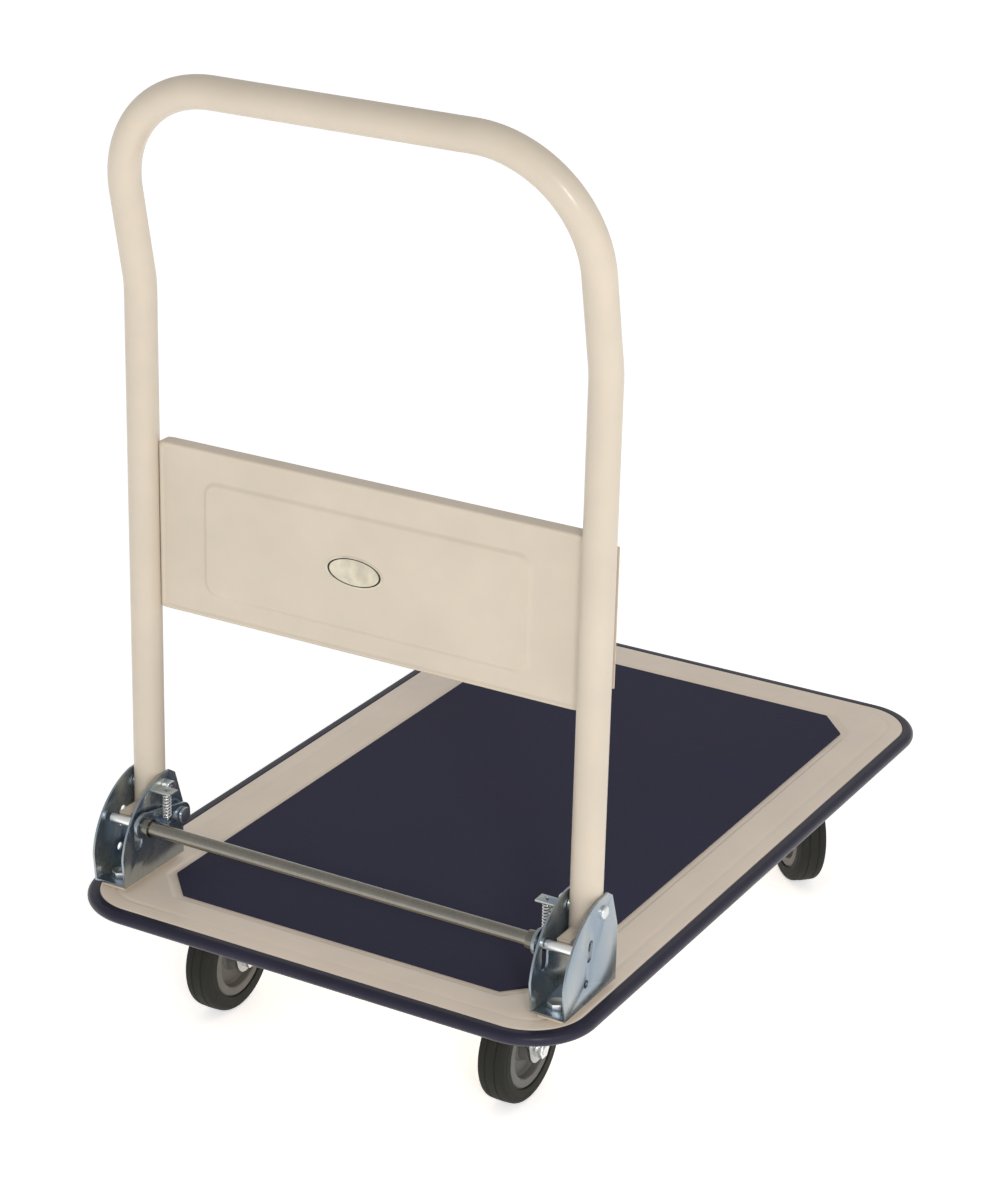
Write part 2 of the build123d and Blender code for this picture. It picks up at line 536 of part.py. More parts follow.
def swivel_race():
    """Upper ball race with a skirt that shields the bearing."""
    top, bottom = PLATE_TOP - PLATE_THICK, CROWN_TOP + SKIRT_GAP
    skirt_out, skirt_in = CROWN_R + 2.4, CROWN_R + 0.6
    race = rod_z(0, 0, skirt_out, bottom, top)
    race -= rod_z(0, 0, skirt_in, bottom, top - RACE_THICK)
    return race - rod_z(0, 0, KINGPIN_HEAD_R, bottom, top)


def swivel_balls():
    """Ring of loose balls between the crown and the upper race."""
    z = (CROWN_TOP + PLATE_TOP - PLATE_THICK - RACE_THICK) / 2
    turn = 360 / BALL_COUNT
    return [Rot(0, 0, turn * i) * Pos(BALL_CIRCLE_R, 0, z) * Sphere(BALL_R)
            for i in range(BALL_COUNT)]


def kingpin():
    """Bolt fixed in the top plate, with a washer and nut that hold the fork up."""
    under = CROWN_TOP - CROWN_THICK
    washer_top = under - KINGPIN_PLAY
    washer_bottom = washer_top - KINGPIN_WASHER
    pin = rod_z(0, 0, KINGPIN_R, under - KINGPIN_TAIL, PLATE_TOP)
    pin += rod_z(0, 0, KINGPIN_HEAD_R, PLATE_TOP, PLATE_TOP + KINGPIN_HEAD)
    pin += rod_z(0, 0, KINGPIN_WASHER_R, washer_bottom, washer_top)
    return pin + hex_z(0, 0, KINGPIN_NUT_FLATS, under - KINGPIN_TAIL + 0.2, washer_bottom)


def caster_bolt(x, y):
    """Low-headed bolt down through the tray and the caster's plate."""
    seat = TRAY_BOTTOM + TRAY_SHEET
    shank = rod_z(x, y, BOLT_R, PLATE_TOP - PLATE_THICK - HEX_NUT - 1.0, seat)
    return shank + rod_z(x, y, LOW_HEAD_R, seat, seat + LOW_HEAD)


def caster_nut(x, y):
    return hex_nut_z(x, y, PLATE_TOP - PLATE_THICK)


# ---- assembly -----------------------------------------------------------------------------
def build_deck():
    save("deck_pan", deck_pan())
    save("deck_mat", octagon_slab(0, RECESS_TOP, RECESS_TOP + MAT_THICK))
    save("edge_bumper", edge_bumper())
    save("rear_caster_tray", caster_tray(REAR_AXLE_X))
    save("front_caster_tray", caster_tray(KINGPIN_X))
    for name, side in SIDES:
        save(f"deck_rail_{name}", deck_rail(side))


def build_brackets():
    for name, side in SIDES:
        save(f"hinge_bracket_{name}", hinge_bracket(side))
        save(f"latch_spring_{name}", latch_spring(side))
    sides = [side for _, side in SIDES]
    save("bracket_pads", *[bracket_pad(side) for side in sides])
    save("bracket_backing_plates", *[backing_plate(side) for side in sides])
    save("bracket_bolts", *[bracket_bolt(x, y) for x, y in BRACKET_BOLTS])
    save("bracket_nuts", *[bracket_nut(x, y) for x, y in BRACKET_BOLTS])
    save("handle_pivot_bolts", *[pivot_bolt(side) for side in sides])
    save("handle_pivot_nuts", *[pivot_nut(side) for side in sides])
    save("lever_pins", *[lever_pin(side) for side in sides])


def build_release_bar():
    save("lock_bar", lock_bar())
    for name, side in SIDES:
        save(f"release_lever_{name}", release_lever(side))
    save("bar_collars", *[bar_collar(side) for _, side in SIDES])


def build_handle():
    save("handle_tube", handle_tube())
    save("handle_panel", handle_panel())
    save("panel_label", panel_label())
    save("panel_rivets", *[panel_rivet(side, z) for _, side in SIDES for z in rivet_heights()])
    save("pivot_sleeves", *[pivot_sleeve(side) for _, side in SIDES])
    save("locking_noses", *[locking_nose(side) for _, side in SIDES])


def build_casters():
    for name, side in SIDES:
        rear, front = rear_place(side), yaw_place(side)
        top = Pos(KINGPIN_X, side * KINGPIN_Y, 0)
        save(f"rear_{name}_caster_plate", rear * fixed_plate())
        save(f"rear_{name}_fork", rear * fixed_fork())
        save(f"rear_{name}_axle", rear * axle_bolt(0), rear * axle_nut(0), rear * axle_sleeve(0))
        save(f"front_{name}_caster_plate", top * swivel_plate())
        save(f"front_{name}_swivel_race", top * swivel_race())
        save(f"front_{name}_kingpin", top * kingpin())
        save(f"front_{name}_fork", front * swivel_fork())
        save(f"front_{name}_axle", *[front * piece(-TRAIL)
                                     for piece in (axle_bolt, axle_nut, axle_sleeve)])
        for end, place in (("rear", rear), ("front", front * Pos(-TRAIL, 0, 0))):
            save(f"{end}_{name}_tyre", place * tyre())
            save(f"{end}_{name}_hub", place * wheel_hub())
    save("caster_rivets", *[rear_place(side) * fixed_rivet(dx)
                            for _, side in SIDES for dx in (-FORK_RIVET_X, FORK_RIVET_X)])
    save("swivel_balls", *[Pos(KINGPIN_X, side * KINGPIN_Y, 0) * ball
                           for _, side in SIDES for ball in swivel_balls()])
    places = caster_bolt_places(REAR_AXLE_X) + caster_bolt_places(KINGPIN_X)
    save("caster_bolts", *[caster_bolt(x, y) for x, y in places])
    save("caster_nuts", *[caster_nut(x, y) for x, y in places])


def main():
    os.makedirs("parts", exist_ok=True)
    build_deck()
    build_brackets()
    build_release_bar()
    build_handle()
    build_casters()


main()
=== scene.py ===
import json
from math import acos, atan2, ceil, cos, hypot, pi, radians, sin, tan

import bmesh
import bpy
from mathutils import Matrix, Vector


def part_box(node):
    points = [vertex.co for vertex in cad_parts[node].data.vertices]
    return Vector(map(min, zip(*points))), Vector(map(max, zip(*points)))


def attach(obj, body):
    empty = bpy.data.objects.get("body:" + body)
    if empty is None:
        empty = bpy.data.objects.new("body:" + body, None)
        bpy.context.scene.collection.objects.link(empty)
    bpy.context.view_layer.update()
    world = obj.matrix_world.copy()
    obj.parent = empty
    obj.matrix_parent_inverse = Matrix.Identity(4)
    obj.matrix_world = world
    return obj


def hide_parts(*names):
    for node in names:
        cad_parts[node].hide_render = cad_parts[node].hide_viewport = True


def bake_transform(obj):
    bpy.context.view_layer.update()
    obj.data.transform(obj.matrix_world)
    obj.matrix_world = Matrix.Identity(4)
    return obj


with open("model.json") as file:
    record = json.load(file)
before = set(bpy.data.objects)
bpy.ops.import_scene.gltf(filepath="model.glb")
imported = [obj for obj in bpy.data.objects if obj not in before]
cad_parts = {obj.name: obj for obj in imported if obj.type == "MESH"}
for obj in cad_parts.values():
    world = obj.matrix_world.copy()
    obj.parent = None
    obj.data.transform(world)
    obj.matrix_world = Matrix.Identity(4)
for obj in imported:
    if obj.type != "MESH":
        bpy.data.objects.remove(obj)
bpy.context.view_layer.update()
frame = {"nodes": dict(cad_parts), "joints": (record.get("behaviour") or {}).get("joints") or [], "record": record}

# Metres, in the frame of the CAD part: +Z up, floor at Z = 0, +X away from the push handle.
MM = 0.001
NODES = frame["nodes"]
JOINTS = {joint["name"]: joint for joint in frame["joints"]}
MOUNTS = {mount["name"]: mount for mount in frame["record"]["mounts"]}
SLOT_OF = {part["node"]: part["material_slot"] for part in frame["record"]["subparts"]}
BODY_OF = {node: body for body, nodes in frame["record"]["behaviour"]["bodies"].items()
           for node in nodes}
SIDES = (("left", 1), ("right", -1))


# ---- shader helpers -----------------------------------------------------------------------
class Shader:
    """A Principled material that is put together from noise, ramps and bumps."""

    def __init__(self, name, metallic=0.0, coat=0.0, coat_roughness=0.1, specular=0.5):
        self.material = bpy.data.materials.new(name)
        self.material.use_nodes = True
        self.tree = self.material.node_tree
        self.main = self.tree.nodes["Principled BSDF"]
        self.main.inputs["Metallic"].default_value = metallic
        self.main.inputs["Coat Weight"].default_value = coat
        self.main.inputs["Coat Roughness"].default_value = coat_roughness
        self.main.inputs["Specular IOR Level"].default_value = specular
        self.place = self.tree.nodes.new("ShaderNodeTexCoord").outputs["Object"]

    def node(self, kind, **inputs):
        made = self.tree.nodes.new(kind)
        for name, value in inputs.items():
            made.inputs[name.replace("_", " ")].default_value = value
        return made

    def noise(self, size, detail=4.0, stretch=(1, 1, 1), roughness=0.5):
        """Noise whose features are about this many metres across."""
        mapping = self.node("ShaderNodeMapping", Scale=stretch)
        self.tree.links.new(self.place, mapping.inputs["Vector"])
        noise = self.node("ShaderNodeTexNoise", Scale=1 / size, Detail=detail, Roughness=roughness)
        self.tree.links.new(mapping.outputs["Vector"], noise.inputs["Vector"])
        return noise.outputs["Fac"]

    def edges(self):
        """How far the surface bends outwards, for wear along edges."""
        return self.tree.nodes.new("ShaderNodeNewGeometry").outputs["Pointiness"]

    def ramp(self, factor, *stops):
        ramp = self.tree.nodes.new("ShaderNodeValToRGB")
        points = ramp.color_ramp.elements
        while len(points) < len(stops):
            points.new(0.5)
        for point, (place, colour) in zip(points, stops):
            point.position = place
            point.color = (*colour, 1) if len(colour) == 3 else colour
        self.tree.links.new(factor, ramp.inputs["Fac"])
        return ramp.outputs["Color"]

    def level(self, factor, low, high):
        """Spread the middle of a noise over the range from low to high."""
        spread = self.node("ShaderNodeMapRange", From_Min=0.3, From_Max=0.7,
                           To_Min=low, To_Max=high)
        self.tree.links.new(factor, spread.inputs["Value"])
        return spread.outputs["Result"]

    def mix(self, factor, under, over):
        mix = self.tree.nodes.new("ShaderNodeMix")
        mix.data_type = "RGBA"
        self.tree.links.new(factor, mix.inputs[0])
        self.tree.links.new(under, mix.inputs[6])
        self.tree.links.new(over, mix.inputs[7])
        return mix.outputs[2]

    def bump(self, *layers):
        """Bumps on top of each other, each as (height, distance in metres)."""
        normal = None
        for height, distance in layers:
            bump = self.node("ShaderNodeBump", Distance=distance, Strength=1.0)
            self.tree.links.new(height, bump.inputs["Height"])
            if normal:
                self.tree.links.new(normal, bump.inputs["Normal"])
            normal = bump.outputs["Normal"]
        self.tree.links.new(normal, self.main.inputs["Normal"])

    def set(self, **sockets):
        for name, output in sockets.items():
            self.tree.links.new(output, self.main.inputs[name.replace("_", " ")])
        return self.material


def shade(colour, factor):
    return tuple(min(1.0, part * factor) for part in colour)


def gloss_paint(name, colour, grey, rough):
    """Stoved enamel: faint orange peel, slight cloudiness, a dulled film that collects greyly."""
    paint = Shader(name, coat=0.25, coat_roughness=0.14, specular=0.35)
    cloud = paint.noise(0.07, detail=3)
    dull = paint.noise(0.018, detail=5)
    base = paint.ramp(cloud, (0.35, shade(colour, 0.965)), (0.65, shade(colour, 1.025)))
    film = paint.ramp(cloud, (0.3, grey), (0.7, shade(grey, 1.05)))
    colour_out = paint.mix(paint.level(dull, 0.0, 0.28), base, film)
    paint.bump((paint.noise(0.0035, detail=1), 0.00005), (paint.noise(0.04, detail=2), 0.00020))
    return paint.set(Base_Color=colour_out, Roughness=paint.level(dull, rough - 0.05, rough + 0.07))


def zinc(name, cool, warm, rough, metallic=1.0):
    """Passivated zinc plate: cool and warm patches, fine drawing lines, bright worn edges."""
    plate = Shader(name, metallic=metallic)
    patch = plate.noise(0.022, detail=3, stretch=(1, 1, 0.55))
    lines = plate.noise(0.0012, detail=3, stretch=(1, 1, 0.06))
    base = plate.ramp(patch, (0.36, cool), (0.54, shade(cool, 1.12)), (0.70, warm))
    bright = plate.ramp(lines, (0.3, shade(warm, 1.25)), (0.7, shade(warm, 1.45)))
    worn = plate.ramp(plate.edges(), (0.52, (0, 0, 0)), (0.58, (1, 1, 1)))
    plate.bump((lines, 0.00002), (plate.noise(0.008, detail=2), 0.00007))
    return plate.set(Base_Color=plate.mix(worn, base, bright),
                     Roughness=plate.level(patch, rough - 0.05, rough + 0.07))


def rubber(name, colour, rough, specular, grain=0.0009, depth=0.00010):
    """Moulded rubber: fine grain, faint dusty patches."""
    skin = Shader(name, specular=specular)
    dust = skin.noise(0.05, detail=6)
    base = skin.ramp(dust, (0.35, shade(colour, 0.88)), (0.7, shade(colour, 1.14)))
    skin.bump((skin.noise(grain, detail=2), depth), (skin.noise(0.02, detail=2), 0.00012))
    return skin.set(Base_Color=base, Roughness=skin.level(dust, rough - 0.06, rough + 0.08))


def pebbled_mat(name, colour):
    """Deck mat: matt rubber with a fine pebbled grain."""
    skin = Shader(name, specular=0.12)
    cells = skin.node("ShaderNodeTexVoronoi", Scale=420.0)
    skin.tree.links.new(skin.place, cells.inputs["Vector"])
    dust = skin.noise(0.09, detail=5)
    base = skin.ramp(dust, (0.35, shade(colour, 0.94)), (0.7, shade(colour, 1.07)))
    skin.bump((cells.outputs["Distance"], 0.00016), (skin.noise(0.0007, detail=2), 0.00005))
    return skin.set(Base_Color=base, Roughness=skin.level(dust, 0.76, 0.88))


def plastic(name, colour, rough):
    """Moulded plastic or printed film: slight stains and a very fine grain."""
    body = Shader(name, specular=0.35)
    stain = body.noise(0.012, detail=5)
    base = body.ramp(stain, (0.35, shade(colour, 0.85)), (0.68, shade(colour, 1.12)))
    body.bump((body.noise(0.0008, detail=2), 0.00004))
    return body.set(Base_Color=base, Roughness=body.level(stain, rough - 0.05, rough + 0.08))


CREAM, CREAM_GREY = (0.635, 0.547, 0.435), (0.560, 0.500, 0.420)
# The deck and frame take the handle's cream enamel made lighter: the extra lightness is painted light, standing in
# for light that the lamps give the upward-facing deck less of than the upright handle.
LIT_DECK_CREAM, LIT_DECK_GREY = (0.790, 0.670, 0.545), (0.705, 0.615, 0.530)
COOL_ZINC, WARM_ZINC = (0.215, 0.275, 0.345), (0.375, 0.390, 0.365)
MATERIAL = {
    "handle_paint": gloss_paint("cream_enamel", CREAM, CREAM_GREY, 0.40),
    # deck and frame: the same cream enamel in a lighter copy, as painted light
    "deck_paint": gloss_paint("deck_enamel_painted_lighter", LIT_DECK_CREAM, LIT_DECK_GREY, 0.38),
    "frame_paint": gloss_paint("frame_enamel_painted_lighter", LIT_DECK_CREAM, LIT_DECK_GREY, 0.48),
    "mat": pebbled_mat("navy_mat", (0.0370, 0.0360, 0.0640)),
    "bumper_rubber": rubber("navy_rubber", (0.0160, 0.0150, 0.0330), 0.34, 0.30),
    "bracket_zinc": zinc("blue_zinc", COOL_ZINC, WARM_ZINC, 0.24, 0.87),
    "caster_zinc": zinc("caster_zinc", (0.360, 0.380, 0.390), (0.500, 0.490, 0.450), 0.30),
    "bar_steel": zinc("bar_zinc", (0.118, 0.113, 0.099), (0.222, 0.211, 0.185), 0.20),
    "spring_steel": zinc("spring_zinc", (0.560, 0.580, 0.600), (0.700, 0.700, 0.680), 0.20),
    "fasteners": zinc("bright_zinc", (0.620, 0.640, 0.650), (0.780, 0.780, 0.750), 0.30),
    "badge": plastic("badge_film", (0.640, 0.580, 0.450), 0.42),
    "tyre": rubber("tyre_rubber", (0.0180, 0.0185, 0.0150), 0.66, 0.18, 0.0014, 0.00016),
    "wheel_centre": plastic("wheel_plastic", (0.118, 0.115, 0.104), 0.50),
}
INK = plastic("badge_ink", (0.020, 0.020, 0.019), 0.5)


# ---- mesh helpers -------------------------------------------------------------------------
def piece(name, mesh, slot, body, replaces=(), smooth_deg=35, material=None):
    """Turn a bmesh into a finished piece that rides on a body."""
    bmesh.ops.recalc_face_normals(mesh, faces=mesh.faces)
    data = bpy.data.meshes.new(name)
    mesh.to_mesh(data)
    mesh.free()
    data.materials.append(material or MATERIAL[slot])
    data.shade_smooth()
    data.set_sharp_from_angle(angle=radians(smooth_deg))
    made = bpy.data.objects.new(name, data)
    bpy.context.scene.collection.objects.link(made)
    if body:
        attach(made, body)
    if replaces:
        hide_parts(*replaces)
    return made


def skin_loops(mesh, loops, closed=False):
    """Join loops of vertices, each as long as the next, with quads."""
    rows = [[mesh.verts.new(point) for point in loop] for loop in loops]
    pairs = list(zip(rows, rows[1:])) + ([(rows[-1], rows[0])] if closed else [])
    for row, following in pairs:
        count = len(row)
        for i in range(count):
            j = (i + 1) % count
            mesh.faces.new((row[i], row[j], following[j], following[i]))
    return rows


def cap(mesh, row):
    """Close a loop of vertices that a middle point sees all of."""
    middle = mesh.verts.new(sum((vert.co for vert in row), Vector()) / len(row))
    for i, vert in enumerate(row):
        mesh.faces.new((vert, row[(i + 1) % len(row)], middle))


def thicken(mesh, thickness):
    """Give an open sheet its thickness, away from its outer side."""
    bmesh.ops.recalc_face_normals(mesh, faces=mesh.faces)
    bmesh.ops.solidify(mesh, geom=list(mesh.faces), thickness=thickness)


def refine(node, width, segments=2, flat_deg=1.0, sharp_deg=32):
    """Copy of a CAD node with clean faces and softly broken edges, in place of the node."""
    mesh = bmesh.new()
    mesh.from_mesh(NODES[node].data)
    bmesh.ops.remove_doubles(mesh, verts=mesh.verts, dist=1e-6)
    bmesh.ops.dissolve_limit(mesh, angle_limit=radians(flat_deg), verts=mesh.verts,
                             edges=mesh.edges)
    sharp = [edge for edge in mesh.edges
             if len(edge.link_faces) == 2 and edge.calc_face_angle(0) > radians(sharp_deg)]
    if width:
        bmesh.ops.bevel(mesh, geom=sharp, offset=width, segments=segments, profile=0.6,
                        affect="EDGES", clamp_overlap=True)
    return piece(f"{node}_finished", mesh, SLOT_OF[node], BODY_OF[node], (node,))


def arc(centre, radius, start_deg, end_deg, steps):
    """Points on an arc in a plane, ends included."""
    turns = [radians(start_deg + (end_deg - start_deg) * i / steps) for i in range(steps + 1)]
    return [(centre[0] + radius * cos(t), centre[1] + radius * sin(t)) for t in turns]


def spokes(axis, steps):
    """A level axis, and even directions round it."""
    across = Vector(axis).normalized()
    up = Vector((0, 0, 1))
    side = across.cross(up).normalized()
    turns = [2 * pi * i / steps for i in range(steps)]
    return across, [side * cos(turn) + up * sin(turn) for turn in turns]


def lathe(mesh, profile, centre, axis, steps=96):
    """Turn a closed outline of (radius, across) round an axis."""
    across, outward = spokes(axis, steps)
    middle = Vector(centre)
    skin_loops(mesh, [[middle + out * r + across * w for r, w in profile] for out in outward],
               closed=True)


def spindle(mesh, outline, centre, axis, steps=64):
    """Solid turned part: rings of (radius, across) along an axis, closed at both ends."""
    across, outward = spokes(axis, steps)
    rows = skin_loops(mesh, [[centre + across * w + out * r for out in outward]
                             for r, w in outline])
    cap(mesh, rows[0])
    cap(mesh, rows[-1])


def tube_along(mesh, points, radius, sides=24, inner=0.0):
    """Tube round a line of points, hollow where an inner radius is given."""
    forward = [(points[min(i + 1, len(points) - 1)] - points[max(i - 1, 0)]).normalized()
               for i in range(len(points))]
    across = forward[0].orthogonal().normalized()
    frames = []
    for ahead in forward:
        across = (across - ahead * across.dot(ahead)).normalized()
        frames.append((across.copy(), ahead.cross(across)))

    def loop(i, r):
        u, v = frames[i]
        turns = [2 * pi * k / sides for k in range(sides)]
        return [points[i] + (u * cos(t) + v * sin(t)) * r for t in turns]

    outside = [loop(i, radius) for i in range(len(points))]
    if inner:
        inside = [loop(i, inner) for i in reversed(range(len(points)))]
        skin_loops(mesh, outside + inside, closed=True)
        return
    rows = skin_loops(mesh, outside)
    cap(mesh, rows[0])
    cap(mesh, rows[-1])


def rounded_path(corners, radii, step_deg=4):
    """Straight runs joined by tangent arcs."""
    path = [corners[0]]
    for before, corner, after, radius in zip(corners, corners[1:], corners[2:], radii):
        back, ahead = (before - corner).normalized(), (after - corner).normalized()
        half = acos(back.dot(ahead)) / 2
        setback = radius / tan(half)
        middle = corner + (back + ahead).normalized() * (radius / sin(half))
        start = corner + back * setback - middle
        end = corner + ahead * setback - middle
        sweep = pi - 2 * half
        steps = ceil(sweep / radians(step_deg))
        for i in range(steps + 1):
            share = i / steps
            weights = sin((1 - share) * sweep), sin(share * sweep)
            path.append(middle + (start * weights[0] + end * weights[1]) / sin(sweep))
    return path + [corners[-1]]


# ---- outlines seen from a middle point ----------------------------------------------------
def rounded_rectangle(half_a, half_b, radius):
    """Distance from the middle to a rounded rectangle's edge, along a direction."""
    def reach(turn):
        a, b = cos(turn), sin(turn)
        length = min(half_a / max(abs(a), 1e-9), half_b / max(abs(b), 1e-9))
        if length * abs(a) > half_a - radius and length * abs(b) > half_b - radius:
            ca, cb = half_a - radius, half_b - radius
            along = abs(a) * ca + abs(b) * cb
            length = along + max(0.0, along ** 2 - ca ** 2 - cb ** 2 + radius ** 2) ** 0.5
        return length
    return reach


def cut_rectangle(half_a, half_b, cut_a, cut_b):
    """The same for a rectangle whose corners are cut off."""
    slope = hypot(cut_a, cut_b)
    normal = cut_b / slope, cut_a / slope
    limit = (half_a - cut_a) * normal[0] + half_b * normal[1]

    def reach(turn):
        a, b = max(abs(cos(turn)), 1e-9), max(abs(sin(turn)), 1e-9)
        return min(half_a / a, half_b / b, limit / (a * normal[0] + b * normal[1]))
    return reach


def turns_with(count, corners):
    """Even directions round a circle, with the given corner directions added."""
    even = [2 * pi * i / count for i in range(count)]
    mirrored = [t for corner in corners for t in (corner, pi - corner, pi + corner, -corner)]
    return sorted({round(t % (2 * pi), 9) for t in even + mirrored})


# ---- deck ---------------------------------------------------------------------------------
pan_low, pan_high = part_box("deck_pan")
mat_low, mat_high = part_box("deck_mat")
bumper_low, bumper_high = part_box("edge_bumper")
PAN_HALF = pan_high.x, pan_high.y
BUMPER_HALF = bumper_high.x, bumper_high.y
MAT_MIDDLE = Vector(((mat_low.x + mat_high.x) / 2, 0, 0))
MAT_HALF = (mat_high.x - mat_low.x) / 2, mat_high.y
MAT_CUT = 30.0 * MM, 27.5 * MM
CUT_GROWTH = 0.41                           # how fast the cut corners grow with the outline
BUMPER_CORNER = 60.0 * MM
BUMPER_WIDTH = BUMPER_HALF[0] - PAN_HALF[0]
PAN_CORNER = BUMPER_CORNER - BUMPER_WIDTH
SHEET = 1.5 * MM
GUTTER = 4.5 * MM                           # painted strip in the recess round the mat
MAT_CORNERS = [atan2(MAT_HALF[1], MAT_HALF[0] - MAT_CUT[0]),
               atan2(MAT_HALF[1] - MAT_CUT[1], MAT_HALF[0])]
DECK_TURNS = turns_with(640, MAT_CORNERS)


def deck_ring(reach, z, middle=Vector()):
    return [middle + Vector((cos(t) * reach(t), sin(t) * reach(t), z)) for t in DECK_TURNS]


def pan_outline(inset):
    return rounded_rectangle(PAN_HALF[0] - inset, PAN_HALF[1] - inset, PAN_CORNER - inset)


def mat_outline(margin):
    return cut_rectangle(MAT_HALF[0] + margin, MAT_HALF[1] + margin,
                         MAT_CUT[0] + CUT_GROWTH * margin,
                         MAT_CUT[1] + CUT_GROWTH * margin)


def deck_pan():
    """Pan pressing: folded rim, slightly falling outer band, groove, dished seat for the mat."""
    top, floor = pan_high.z, mat_low.z
    rim, band_fall = 2.0 * MM, 0.5 * MM
    rings = [deck_ring(pan_outline(0), pan_low.z), deck_ring(pan_outline(0), top - band_fall - rim)]
    for inset, rise in arc((rim, -rim), rim, 180, 90, 5)[1:]:
        rings.append(deck_ring(pan_outline(inset), top - band_fall + rise))
    groove_start, groove_width, groove_depth, groove_steps = 11.0 * MM, 8.0 * MM, 0.6 * MM, 12
    for i in range(groove_steps + 1):
        dip = (1 - cos(2 * pi * i / groove_steps)) / 2 * groove_depth
        rings.append(deck_ring(pan_outline(groove_start + groove_width * i / groove_steps),
                               top - dip))
    shoulder, steps, under_mat = 5.0 * MM, 6, 4.0 * MM
    for i in range(steps + 1):
        share = i / steps
        fall = (1 - cos(pi * share)) / 2 * (top - floor)
        rings.append(deck_ring(mat_outline(GUTTER + shoulder * (1 - share)), top - fall,
                               MAT_MIDDLE))
    rings.append(deck_ring(mat_outline(-under_mat), floor, MAT_MIDDLE))
    mesh = bmesh.new()
    rows = skin_loops(mesh, rings)
    cap(mesh, rows[-1])
    thicken(mesh, SHEET)
    return piece("deck_pan_pressing", mesh, "deck_paint", "deck", ("deck_pan",), smooth_deg=40)


def deck_mat():
    """Mat with a softly rounded cut edge."""
    edge = 0.8 * MM
    rings = [deck_ring(mat_outline(0), mat_low.z, MAT_MIDDLE)]
    for inset, rise in arc((edge, -edge), edge, 180, 90, 4):
        rings.append(deck_ring(mat_outline(-inset), mat_high.z + rise, MAT_MIDDLE))
    mesh = bmesh.new()
    rows = skin_loops(mesh, rings)
    cap(mesh, rows[0])
    cap(mesh, rows[-1])
    return piece("deck_mat_sheet", mesh, "mat", "deck", ("deck_mat",), smooth_deg=50)


def edge_bumper():
    """Round-nosed rubber strip round the pan's skirt, just under the painted border."""
    top, bottom, nose, inner_round = bumper_high.z, bumper_low.z, 5.5 * MM, 0.5 * MM
    profile = [(BUMPER_WIDTH, bottom), (BUMPER_WIDTH, top - inner_round),
               (BUMPER_WIDTH - inner_round, top)]
    profile += arc((nose, top - nose), nose, 90, 180, 12)
    profile += arc((nose, bottom + nose), nose, 180, 270, 12)
    rings = []
    for inset, z in profile:
        outline = rounded_rectangle(BUMPER_HALF[0] - inset, BUMPER_HALF[1] - inset,
                                    BUMPER_CORNER - inset)
        rings.append(deck_ring(outline, z))
    mesh = bmesh.new()
    skin_loops(mesh, rings, closed=True)
    return piece("edge_bumper_moulding", mesh, "bumper_rubber", "deck", ("edge_bumper",),
                 smooth_deg=40)


# ---- handle -------------------------------------------------------------------------------
tube_low, tube_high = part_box("handle_tube")
panel_low, panel_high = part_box("handle_panel")
TOP_BAR = MOUNTS["top_bar"]
TUBE_R = TOP_BAR["dims"]["r_mm"] * MM
LEG_X = JOINTS["handle_fold"]["pos_m"][0]
LEG_Y = tube_high.y - TUBE_R
TOP_X, _, TOP_Z = TOP_BAR["pos_m"]
LEAN = radians(12.06)
KINK_Z = TOP_Z - (LEG_X - TOP_X) / tan(LEAN)
CORNER_R = LEG_Y - TOP_BAR["dims"]["length_mm"] * MM / 2
KINK_R, TUBE_WALL = 60.0 * MM, 1.5 * MM


def handle_tube():
    """Bent tube: upright legs, a kink, leaning upper legs and a rounded top bar."""
    corners = [Vector((LEG_X, LEG_Y, tube_low.z)), Vector((LEG_X, LEG_Y, KINK_Z)),
               Vector((TOP_X, LEG_Y, TOP_Z)), Vector((TOP_X, -LEG_Y, TOP_Z)),
               Vector((LEG_X, -LEG_Y, KINK_Z)), Vector((LEG_X, -LEG_Y, tube_low.z))]
    path = rounded_path(corners, [KINK_R, CORNER_R, CORNER_R, KINK_R], step_deg=2)
    mesh = bmesh.new()
    tube_along(mesh, path, TUBE_R, sides=64, inner=TUBE_R - TUBE_WALL)
    return piece("handle_tube_bent", mesh, "handle_paint", "handle", ("handle_tube",))


PANEL_SHEET = 1.2 * MM
PANEL_FACE = -281.4 * MM
PANEL_HALF_Y = LEG_Y - TUBE_R - 0.15 * MM   # the rim lies against the legs
PAD_LOW, PAD_HIGH, PAD_HALF_Y = 393.0 * MM, 486.0 * MM, 150.0 * MM
HEM, HEM_FALL = 1.0 * MM, 0.8 * MM          # rim that stands proud of the field inside it
TAB_LOW, TAB_HIGH, TAB_SOFT = 390.0 * MM, 508.0 * MM, 0.3 * MM
PANEL_TURNS = turns_with(480, [])


def panel_ring(half_y, half_z, corner, x, middle_z):
    reach = rounded_rectangle(half_y, half_z, corner)
    return [Vector((x, cos(t) * reach(t), middle_z + sin(t) * reach(t))) for t in PANEL_TURNS]


